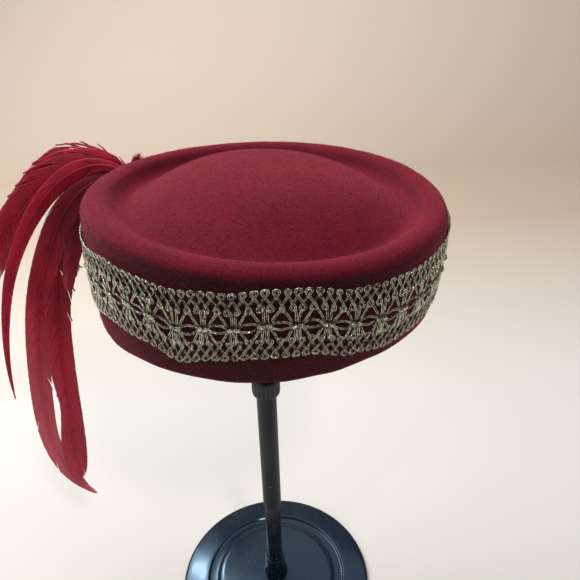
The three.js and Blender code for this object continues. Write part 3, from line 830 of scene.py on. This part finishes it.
class Bundle:
    """Strands gathered into one mesh, with the tones that their points carry."""

    def __init__(self):
        self.points, self.faces, self.tones, self.count = [], [], {}, 0

    def take(self, points, faces, **tones):
        """Adds a mesh. Each tone is one number for all its points, or one for each."""
        self.points.append(points)
        self.faces += [[self.count + i for i in face] for face in faces]
        for label, values in tones.items():
            self.tones.setdefault(label, []).append(np.broadcast_to(values, len(points)))
        self.count += len(points)

    def thread(self, centre, away, radius, sides, tone, closed=False, lift=1.0):
        """A round thread with its length, tone, and lift, which sets tarnish and painted shade."""
        step = np.linalg.norm(np.diff(centre, axis=0), axis=1)
        length = np.concatenate([[0], np.cumsum(step)])
        lift = np.broadcast_to(lift, len(centre))
        self.take(
            *tube(centre, away, radius, sides, closed),
            length=np.repeat(length, sides), tone=tone, lift=np.repeat(lift, sides),
        )

    def made(self, name, finish):
        tones = {label: np.concatenate(values) for label, values in self.tones.items()}
        return piece(name, np.vstack(self.points), self.faces, finish, tones)


def laid(run, rise, offset):
    """A course on the braid, with the direction off the felt all along it."""
    centre = on_the_braid(run, rise, offset)
    return centre, on_the_braid(run, rise, offset + 1) - centre


def braid_thread(bundle, run, rise, offset, tone, lift, closed=False):
    """Lays a pair of threads side by side along one course on the braid."""
    if closed:
        forward = np.stack([
            np.roll(run, -1) - np.roll(run, 1), np.roll(rise, -1) - np.roll(rise, 1),
        ], axis=1)
        whole = 2 * math.pi * RIM_RADIUS
        forward[:, 0] = (forward[:, 0] + whole / 2) % whole - whole / 2
    else:
        forward = np.stack([np.gradient(run), np.gradient(rise)], axis=1)
    forward /= np.maximum(np.linalg.norm(forward, axis=1)[:, None], 1e-9)
    for side in (-1, 1):
        beside_run = run - forward[:, 1] * THREAD_PAIR * side
        beside_rise = rise + forward[:, 0] * THREAD_PAIR * side
        bundle.thread(
            *laid(beside_run, beside_rise, offset), THREAD_RADIUS, THREAD_SIDES,
            tone + 0.15 * side, closed, lift,
        )


def border(side, seed):
    """One border: side is 1 for the upper and -1 for the lower one."""
    chance = np.random.default_rng(seed)
    loops = BRAID_MOTIFS * LOOPS_PER_MOTIF
    pitch = 2 * math.pi * RIM_RADIUS / loops
    beat = np.arange(loops * LOOP_POINTS) / LOOP_POINTS

    def ripple(size):
        shifts = np.resize(chance.normal(0, size, loops), loops + 1)
        return np.interp(beat, np.arange(loops + 1) - 0.5, shifts, period=loops)

    high = np.cos(2 * math.pi * beat)
    bulge = OUTER_LOOP * (1 + high) / 2 + INNER_LOOP * (1 - high) / 2 + ripple(BULGE_UNEVEN)
    sway = np.sin(4 * math.pi * beat) + LOOP_ROUNDNESS * np.sin(8 * math.pi * beat)
    run = pitch * (beat + LOOP_START) - bulge * sway + ripple(PLACE_UNEVEN)
    rise = side * (BORDER_MIDDLE + BORDER_REACH * high + ripple(PLACE_UNEVEN))
    offset = THREAD_REST + THREAD_ARCH * high ** 2 + THREAD_CROSSING * np.sin(2 * math.pi * beat)
    bundle = Bundle()
    # The lift darkens each thread where it dips in the middle of its run across the border, and
    # darkens the core threads under the loops much more. This is partly tarnish in the hollows and
    # partly painted shade.
    braid_thread(bundle, run, rise, offset, 0.5, 0.8 + 0.45 * high ** 2, closed=True)
    for level, swing in CORE_THREADS:
        wave = swing * np.sin(2 * math.pi * beat + level)
        rise = side * (BORDER_MIDDLE + level + wave + ripple(CORE_UNEVEN))
        braid_thread(bundle, (pitch * beat)[::4], rise[::4], CORE_REST, 0.3, 0.25, closed=True)
    return bundle


gilt = Finish("tarnished_gilt_thread", {"Metallic": 0.95, "Specular IOR Level": 0.6})
gilt_tone = gilt.carried("tone")
# Threads with a low lift go towards the tarnish colour: partly tarnish in the hollows, partly
# painted shade.
gilt_polish_and_painted_light = gilt.over(gilt.carried("lift"), 0.3, 1.1)
gilt_wrap = gilt.node("ShaderNodeMath", {"operation": "SINE"}, {0: gilt.carried("length") * 14.0})
gilt_age = gilt.over(gilt.grain(1.2, detail=3, rough=0.6), 0.45, 0.56)
# Painted glints: small silver flecks, a little smoother, shown on the lifted threads.
gilt_painted_glint = gilt.over(gilt.grain(0.9, detail=2), 0.50, 0.56)
gilt_bright = gilt_age * 0.8 + gilt_tone * 0.2 + gilt_wrap * 0.12
gilt.colour(gilt.blend(
    gilt_painted_glint * gilt_polish_and_painted_light * 0.95,
    gilt.blend(gilt_bright * (0.02 + gilt_polish_and_painted_light * 0.98), GILT_TARNISH_AND_SHADE, GILT), GILT_SILVER_GLINT,
))
gilt.rough(0.22 - gilt_painted_glint * 0.06 + gilt_age * 0.03)
gilt.relief(gilt_wrap * 0.5 + 0.5, 0.05)

for label, side, seed in (("braid_upper_border", 1, 21), ("braid_lower_border", -1, 22)):
    strip = border(side, seed).made(label, gilt)
    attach(strip, "root")
    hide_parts("braid_band")


# Braid, its open middle. Knots stand in a row between the borders. From each knot pairs of threads
# fan out to both borders, and an eye-shaped loop links it with the next knot.
KNOT_SHIFT = 0.75
KNOT_DROP = -0.6
KNOT_UNEVEN = 0.2
LINK_HALF_LENGTH = 4.8
LINK_HALF_HEIGHT = 2.1
KNOT_HALF_LENGTH = 3.0
# level of each strand of a knot at its widest, and how far it stands out there
KNOT_STRANDS = [(-0.8, 1.2), (-0.28, 1.75), (0.28, 1.75), (0.8, 1.2)]
STRAND_RADIUS = 0.34
# place on the knot and place on the border, as millimetres along and above the knot
RAYS = [
    ((-1.9, 0.7), (-6.4, 8.9)), ((-0.7, 0.9), (-1.1, 9.8)), ((0.7, 0.9), (1.1, 9.8)),
    ((1.9, 0.7), (6.4, 8.9)),
    ((-1.9, -0.7), (-5.6, -7.8)), ((-0.9, -0.8), (-1.6, -8.6)), ((0.0, -0.8), (-0.1, -8.8)),
    ((0.9, -0.8), (1.6, -8.6)), ((1.9, -0.7), (5.6, -7.8)),
]


def stars(first, last, seed):
    """The knots from the first to the last, with their rays and links."""
    chance = np.random.default_rng(seed)
    pitch = 2 * math.pi * RIM_RADIUS / BRAID_MOTIFS
    bundle = Bundle()
    for motif in range(first, last):
        middle = (motif + KNOT_SHIFT) * pitch + chance.normal(0, KNOT_UNEVEN)
        level = KNOT_DROP + chance.normal(0, KNOT_UNEVEN)
        # The lifts of the rays, links and knot strands follow how far each stands off the felt, so
        # the low ones are darkened: tarnish and painted shade.
        for start, end in RAYS:
            share = np.linspace(0, 1, 6)
            bend = chance.normal(0, 0.3)
            far = np.array(end) + chance.normal(0, 0.35, 2)
            run = middle + start[0] + (far[0] - start[0]) * share + bend * np.sin(math.pi * share)
            rise = level + start[1] + (far[1] - start[1]) * share
            offset = 0.75 + 0.35 * np.sin(math.pi * share * 0.9) + chance.uniform(-0.1, 0.1)
            braid_thread(bundle, run, rise, offset, chance.uniform(0.35, 0.8), offset)
        across = np.linspace(-1, 1, 19)
        for side in (-1, 1):
            bow = LINK_HALF_HEIGHT * chance.uniform(0.85, 1.1) * (1 - across ** 2) ** 0.75
            run = middle + pitch / 2 + across * LINK_HALF_LENGTH
            rise = level + side * bow - 0.5 * side * np.sign(across) * np.abs(across) ** 6
            offset = 1.1 + 0.35 * side * across
            braid_thread(bundle, run, rise, offset, chance.uniform(0.3, 0.7), offset * 0.8)
        for half in (-1, 1):
            tilt = chance.normal(0, 0.12)
            for strand_level, strand_offset in KNOT_STRANDS:
                reach = np.linspace(0, 1, 8)
                run = middle + half * (0.1 + KNOT_HALF_LENGTH * reach)
                belly = np.sin(math.pi * (0.2 + 0.75 * reach))
                rise = level + strand_level * belly + tilt * KNOT_HALF_LENGTH * reach
                offset = 0.5 + strand_offset * belly
                tone = chance.uniform(0.2, 0.9)
                bundle.thread(
                    *laid(run, rise, offset), STRAND_RADIUS, sides=5, tone=tone, lift=offset * 0.5,
                )
    return bundle


for label, first, last, seed in (
    ("braid_knots_left", 0, BRAID_MOTIFS // 2, 31),
    ("braid_knots_right", BRAID_MOTIFS // 2, BRAID_MOTIFS, 32),
):
    strip = stars(first, last, seed).made(label, gilt)
    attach(strip, "root")
    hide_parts("braid_band")


# Plume. Six dyed cock feathers. Each has a tapered shaft and two webs of separate barbs, which lie
# over one another, cling together in tufts and part where the feather has been handled.
PLUME_LENGTH = 315
FEATHER_WIDTH = 23
PLUME_TURN = math.radians(143.5)
PLUME_HEIGHT = 43
HEAD_OFFSET = 6.3
PLUME_FACE = (0.35, -0.85, 0.35)
COURSE_STEPS = 52
BARB_RINGS = 6
BARB_WIDTH = 0.66
BARB_DEPTH = 0.16
BARB_SHINGLE = 0.10
# the part of the shaft that carries barbs
BARBS_FROM = 0.04
BARBS_SHARE = 0.955
WEB_BEND = 0.16
WEB_CURL = 0.35
SICKLE_TIP = 0.2
# name, length and width as shares of the longest and widest, width near the tip as a share of its
# own width, heading at both ends, rise, fall, arc, hook, how late it hooks, distance between barbs,
# angle of the barbs, how much they part, how pale the dye gets towards the tip, and how dark the
# painted shadow makes it near the head
FEATHERS = [
    ("broad", 0.775, 1.0, 0.8, 171, 174, 82, -40, 9.9, -28, 1.5, 0.50, 31, 0.05, 0.42, 0.18),
    ("broad_behind", 0.537, 0.8, 0.6, 157, 202, 86, -49, 4.8, -22, 4.8, 0.50, 31, 0.08, 0.1, 0.35),
    ("sickle", 0.752, 0.70, 0.1, 189, 178, 70, -52, 8.2, -37, 1.5, 0.50, 24, 0.03, 0.16, 0.12),
    ("long", 1.0, 0.71, 0.75, 200, 159, 40, -80, 7.6, -90, 9.0, 0.52, 22, 0.10, 1.3, 0.75),
    ("blunt", 0.794, 0.62, 1.45, 179, 291, 21, -80, 6.8, 31, 8.6, 0.50, 24, 0.12, 0.42, 1.0),
    ("short", 0.292, 0.62, 0.5, 177, 273, 68, -59, 8.5, 38, 9.2, 0.55, 24, 0.16, 0.2, 0.85),
]
# Tufts that stand off a web, by feather and side of the shaft: first and last root, place of the
# tip along the feather, and how far it reaches as a share of the web's width
TUFTS = {
    ("broad", 1): [
        (0.045, 0.080, 0.205, 1.02), (0.083, 0.112, 0.265, 1.22), (0.116, 0.140, 0.285, 1.12),
        (0.146, 0.165, 0.312, 1.25), (0.195, 0.215, 0.355, 1.14), (0.262, 0.276, 0.395, 1.12),
    ],
    ("broad_behind", 1): [
        (0.06, 0.11, 0.270, 0.92), (0.115, 0.155, 0.330, 1.12), (0.165, 0.205, 0.385, 1.02),
        (0.22, 0.25, 0.44, 1.1),
    ],
    ("sickle", -1): [(0.10, 0.112, 0.165, 1.5)],
    ("blunt", -1): [
        (0.165, 0.18, 0.265, 1.06), (0.205, 0.217, 0.305, 1.08), (0.25, 0.262, 0.35, 1.12),
        (0.33, 0.345, 0.42, 1.2), (0.42, 0.435, 0.51, 1.15),
    ],
    ("blunt", 1): [(0.66, 0.67, 0.735, 1.12)],
    ("long", -1): [(0.575, 0.585, 0.65, 1.06)],
    ("long", 1): [(0.70, 0.71, 0.77, 1.06), (0.84, 0.85, 0.90, 1.06)],
}
CRIMSON = (0.68, 0.0075, 0.046)
CRIMSON_DEEP = (0.27, 0.003, 0.020)
CRIMSON_PALE = (0.76, 0.15, 0.20)
# near-black red of the painted shadow on the feathers near the head
CRIMSON_PAINTED_SHADOW = (0.055, 0.0015, 0.006)
# How far a feather's course is pushed off its neighbour, where along it, and over what share
NUDGES = {
    "long": [((5.2, 0.0, -3.6), 0.22, 0.17), ((2.2, 0.0, -2.2), 1.0, 0.14)],
    "sickle": [((-2.0, 0.0, 0.6), 0.5, 0.22)], "short": [((-4.6, 0.0, 0.0), 0.9, 0.6)],
    "broad_behind": [((-1.5, 0.0, -4.5), 0.16, 0.12)], "broad": [((-0.5, 0.0, -2.0), 0.12, 0.10)],
}
# Where a web is wider or narrower, by feather and side of the shaft: middle and spread of the
# place as shares of its length, and the added share of width
SWELLS = {
    ("blunt", -1): [(0.25, 0.13, 1.65)], ("blunt", 1): [(0.775, 0.085, -0.42)],
    ("long", -1): [(0.80, 0.05, -0.12), (1.0, 0.06, -0.45)], ("long", 1): [(1.0, 0.06, -0.45)],
}

plume_root = on_the_head(off_the_wall(np.array(PLUME_TURN), np.array(PLUME_HEIGHT), HEAD_OFFSET))


def unit(vectors):
    return vectors / np.maximum(np.linalg.norm(vectors, axis=-1, keepdims=True), 1e-9)


def feather_course(label, long, heading_from, heading_to, rise, fall, arc, hook, late):
    """Points along a feather's shaft, from the head to the tip."""
    along = np.arange(COURSE_STEPS) / COURSE_STEPS
    pitch = np.radians(rise + (fall - rise) * (1 - (1 - along) ** arc) + hook * along ** late)
    heading = np.radians(heading_from + (heading_to - heading_from) * along)
    step = np.stack([
        np.cos(pitch) * np.cos(heading), np.cos(pitch) * np.sin(heading), np.sin(pitch),
    ], axis=1) * long * PLUME_LENGTH / COURSE_STEPS
    knots = np.vstack([plume_root, plume_root + np.cumsum(step, axis=0)])
    share = np.arange(COURSE_STEPS + 1) / COURSE_STEPS
    for push, middle, spread in NUDGES.get(label, ()):
        knots += np.exp(-((share - middle) / spread) ** 2)[:, None] * np.array(push)
    return knots


def along_the(knots, share):
    """A smooth place and direction on a course, for shares of its length."""
    place = np.clip(share, 0, 1) * (len(knots) - 1)
    low = np.minimum(place.astype(int), len(knots) - 2)
    t = (place - low)[..., None]
    ends = np.vstack([2 * knots[0] - knots[1], knots, 2 * knots[-1] - knots[-2]])
    a, b, c, d = (ends[low + i] for i in range(4))
    square, cube = 2 * a - 5 * b + 4 * c - d, 3 * b - a - 3 * c + d
    point = 0.5 * (2 * b + (c - a) * t + square * t ** 2 + cube * t ** 3)
    direction = unit(c - a + 2 * square * t + 3 * cube * t ** 2)
    wide = unit(np.cross(direction, PLUME_FACE))
    return point, direction, wide, np.cross(wide, direction)


def half_width(share, width, tip):
    """Width of an even web at a share of the feather's length."""
    opened = np.clip(share / 0.2, 0, 1)
    opened = opened * opened * (3 - 2 * opened)
    narrows = 2 if tip > SICKLE_TIP else 0.8
    full = (0.12 + 0.88 * opened) * (1 - (1 - tip) * share ** narrows)
    return full * np.sqrt(1 - np.minimum(share, 0.998) ** 14) * width * FEATHER_WIDTH / 2


def swell(label, side, share):
    """How much wider than an even web this one is at a share of its length."""
    wider = np.ones_like(share)
    for middle, spread, extra in SWELLS.get((label, side), ()):
        wider += extra * np.exp(-((share - middle) / spread) ** 2)
    return wider


def web(label, knots, length, side, width, tip, spacing, angle, parting, chance):
    """The barbs on one side of the shaft: points, faces and the tones that they carry."""
    count = int(length * BARBS_SHARE / spacing)
    root = np.arange(count) + chance.uniform(-0.2, 0.2, count)
    root = BARBS_FROM + BARBS_SHARE * root / count
    root = np.clip(root, 0.03, 0.996)
    ends, tuft = [], []
    at = 0
    while at < count:
        size = int(chance.integers(5, 30))
        pull = parting * chance.random() ** 1.6
        centre = root[min(at + size // 2, count - 1)]
        ends += [centre] * min(size, count - at)
        tuft += [pull] * min(size, count - at)
        at += size
    ends, tuft = np.array(ends), np.array(tuft)
    sooner = root + 0.04
    reach = half_width(np.clip(sooner, 0, 1), width, tip) * swell(label, side, sooner)
    reach = reach / math.tan(math.radians(angle)) / length
    apart = root + np.minimum(reach, (1 - root) * 0.92)
    end = apart + (ends - root) * tuft
    out = half_width(np.clip(end, 0, 1), width, tip) * (1 + chance.normal(0, 0.012, count))
    out = out * swell(label, side, end)
    for first_root, last_root, tuft_tip, stretch in TUFTS.get((label, side), ()):
        held = (root > first_root) & (root < last_root)
        middle = (first_root + last_root) / 2
        far = half_width(np.array(tuft_tip), width, tip) * stretch
        far = far * swell(label, side, np.array(tuft_tip))
        end[held] = tuft_tip + (root[held] - middle) * 0.12
        out[held] = far * (1 - np.abs(root[held] - middle) / (last_root - first_root) * 0.12)
    t = np.linspace(0, 1, BARB_RINGS)[None, :]
    share = root[:, None] + (apart - root)[:, None] * t ** 1.25 + (end - apart)[:, None] * t ** 2.4
    out = out[:, None] * t ** 0.85
    point, direction, wide, deep = along_the(knots, share)
    curl = WEB_CURL * (out / (FEATHER_WIDTH / 2)) ** 2
    dip = -WEB_BEND * out - curl * chance.uniform(0.6, 1.3, count)[:, None]
    shingle = BARB_SHINGLE * (np.arange(count) % 2)[:, None]
    centre = point + wide * (side * out)[..., None] + deep * (dip + shingle)[..., None]
    run = unit(np.gradient(centre, axis=1))
    beside = unit(np.cross(run, deep))
    half = spacing * BARB_WIDTH * (1 - 0.45 * t ** 3) * np.ones((count, 1))
    rings = np.stack([
        centre + beside * half[..., None], centre - beside * half[..., None],
        centre + deep * (BARB_DEPTH * (1 - 0.7 * t))[..., None],
    ], axis=2)
    start = np.arange(count)[:, None] * BARB_RINGS * 3
    ring = start[:, :, None] + np.arange(BARB_RINGS - 1)[None, :, None] * 3
    quads = np.concatenate([
        ring + np.array([k, n, 3 + n, 3 + k]) for k, n in ((0, 2), (2, 1), (1, 0))
    ], axis=1)
    last = start + (BARB_RINGS - 1) * 3
    caps = np.concatenate([start + np.array([0, 1, 2]), last + np.array([2, 1, 0])])
    faces = quads.reshape(-1, 4).tolist() + caps.tolist()
    if side > 0:
        faces = [list(reversed(face)) for face in faces]
    tones = {
        "tone": chance.random(count)[:, None, None], "edge": t[..., None],
        "along": share[..., None],
    }
    return rings.reshape(-1, 3), faces, {
        label: np.broadcast_to(values, rings.shape[:3]).ravel() for label, values in tones.items()
    }


def dyed_and_shaded(name, long, light, dark):
    """Dye, paler towards the edges and the tip, and painted shadow that darkens it near the head.
    """
    finish = Finish(name, {
        "Specular IOR Level": 0.22, "Sheen Weight": 0.10, "Sheen Roughness": 0.35,
        "Sheen Tint": (1.0, 0.22, 0.28),
    })
    tone, edge, along = (finish.carried(label) for label in ("tone", "edge", "along"))
    patch = finish.over(finish.grain(11, stretch=(1, 1, 2.5), detail=3), 0.33, 0.7)
    deep = finish.blend(patch * 0.45 + tone * 0.38 + edge * 0.2, CRIMSON_DEEP, CRIMSON)
    # Painted shadow: near the head, where the feather lies under the hat and the other feathers,
    # its colour darkens to near black.
    shaded = finish.over(along * long, 0.17, 0.46, dark, 0.0)
    deep = finish.blend(shaded, deep, CRIMSON_PAINTED_SHADOW)
    quill = finish.carried("quill") * finish.over(along, 0.0, 0.25, 1.0, 0.0)
    pale = finish.over(along, 0.35, 1.0) * light + edge * 0.12 + tone * 0.22 - 0.18 + quill * 0.5
    pale = pale * (1 - shaded * 0.9)
    finish.colour(finish.blend(finish.over(pale, 0.0, 1.0), deep, CRIMSON_PALE))
    finish.rough(0.44 + patch * 0.12 + tone * 0.08)
    finish.relief(finish.grain(0.25, stretch=(1, 1, 3), detail=1), 0.05)
    return finish


for row, numbers in enumerate(FEATHERS):
    label, long, width, tip, *bend, spacing, angle, parting, light, dark = numbers
    chance = np.random.default_rng(41 + row)
    knots = feather_course(label, long, *bend)
    gathered = Bundle()
    for side in (-1, 1):
        points, faces, tones = web(
            label, knots, long * PLUME_LENGTH, side, width, tip, spacing, angle, parting, chance,
        )
        gathered.take(points, faces, **tones, quill=0)
    share = np.linspace(0, 0.995, 120)
    point, direction, wide, deep = along_the(knots, share)
    thick = (0.85 * (1 - share) ** 0.8 + 0.1) * (0.6 + 0.4 * width)
    points, faces = tube(point + deep * 0.1, deep, thick, sides=6)
    gathered.take(points, faces, tone=0.1, edge=0, along=np.repeat(share, 6), quill=1)
    feather = gathered.made("feather_" + label, dyed_and_shaded("dye_and_shadow_" + label, long, light, dark))
    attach(feather, "root")
    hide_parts("feather_plume")


# Plume head. The six quills lie together in a small bundle on the braid, and are bound with waxed
# thread.
HEAD_ABOVE = 2.4
HEAD_DROP = 24
BINDING_TURNS = 22
BINDING_RADIUS = 0.34
BINDING = (0.09, 0.004, 0.008)
BINDING_PALE = (0.2, 0.016, 0.024)

waxed = Finish("waxed_thread", {"Specular IOR Level": 0.4})
waxed_twist = waxed.node("ShaderNodeMath", {"operation": "SINE"}, {
    0: waxed.carried("length") * 9.0,
})
waxed_cloud = waxed.over(waxed.grain(2), 0.35, 0.7)
waxed.colour(waxed.blend(waxed_twist * 0.2 + waxed_cloud * 0.6 + 0.2, BINDING, BINDING_PALE))
waxed.rough(0.5 + waxed_cloud * 0.15)
waxed.relief(waxed_twist * 0.5 + 0.5, 0.08)


def head_radius(drop):
    """Radius of the bound bundle at a distance below the root."""
    return np.interp(drop, [-HEAD_ABOVE, 3.6, 14.4, HEAD_DROP], [3.0, 4.4, 4.4, 2.7])


head = Bundle()
for quill in range(6):
    turn = quill * math.pi / 3
    drop = np.linspace(-HEAD_ABOVE, HEAD_DROP, 14)
    ring = head_radius(drop) - 1.35
    centre = plume_root + np.stack([ring * math.cos(turn), ring * math.sin(turn), -drop], axis=1)
    away = np.tile([math.cos(turn), math.sin(turn), 0.0], (len(drop), 1))
    head.thread(centre, away, 1.3 - 0.25 * (drop / HEAD_DROP) ** 2, sides=8, tone=0.2)
wound = np.linspace(0, 1, BINDING_TURNS * 18)
turn = wound * 2 * math.pi * BINDING_TURNS
drop = 1.5 + wound * (HEAD_DROP - 5)
ring = head_radius(drop) + BINDING_RADIUS * 0.5
centre = plume_root + np.stack([ring * np.cos(turn), ring * np.sin(turn), -drop], axis=1)
away = np.stack([np.cos(turn), np.sin(turn), 0 * turn], axis=1)
head.thread(centre, away, BINDING_RADIUS, sides=6, tone=0.6)
head = head.made("plume_binding", waxed)
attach(head, "root")
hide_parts("feather_plume")


# Down. Short loose barbs at the foot of the feathers, which the binding leaves free and which
# curl up over the rim.
DOWN_COUNT = 110
DOWN_LENGTH = (5, 13)
DOWN_RADIUS = 0.11
CURL_COUNT = 56
CURL_RADIUS = 0.32
CURL_TIP = np.array([-69.5, 56.0, 348.5])

chance = np.random.default_rng(61)
down = Bundle()
for _ in range(DOWN_COUNT):
    share = np.linspace(0, 1, 9)[:, None]
    way = unit(np.array([
        chance.normal(0.15, 0.75), chance.normal(0, 0.5), abs(chance.normal(0.75, 0.35)),
    ]))
    curl = unit(np.array([
        chance.normal(-0.6, 0.6), chance.normal(0, 0.6), chance.normal(-0.1, 0.5),
    ]))
    length = chance.uniform(*DOWN_LENGTH)
    foot = plume_root + chance.normal(0, 1, 3) * np.array([1.8, 1.8, 1.5])
    centre = foot + length * (way * share + curl * 0.45 * share ** 2)
    thick = DOWN_RADIUS * (1 - 0.8 * share[:, 0])
    away = np.tile(unit(np.cross(way, curl)), (9, 1))
    down.thread(centre, away, thick, sides=3, tone=chance.random())
for _ in range(CURL_COUNT):
    share = np.linspace(0, 1, 11)[:, None]
    far = CURL_TIP + chance.normal(0, 1, 3) * np.array([1.7, 1.0, 1.1])
    hump = np.array([0, 0, chance.uniform(2.5, 5.0)])
    centre = plume_root + (far - plume_root) * share ** 0.9 + hump * np.sin(math.pi * share ** 0.8)
    thick = CURL_RADIUS * (1 - 0.6 * share[:, 0])
    away = np.tile([0.0, 1.0, 0.0], (11, 1))
    down.thread(centre, away, thick, sides=3, tone=chance.random())
downy = Finish("downy_barbs", {"Specular IOR Level": 0.3})
downy.colour(downy.blend(downy.carried("tone") * 0.7 + downy.grain(2) * 0.3, CRIMSON_DEEP, CRIMSON))
downy.rough(0.5 + downy.carried("tone") * 0.2)
downy.relief(downy.grain(0.2), 0.02)
down = down.made("plume_down", downy)
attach(down, "root")
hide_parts("feather_plume")
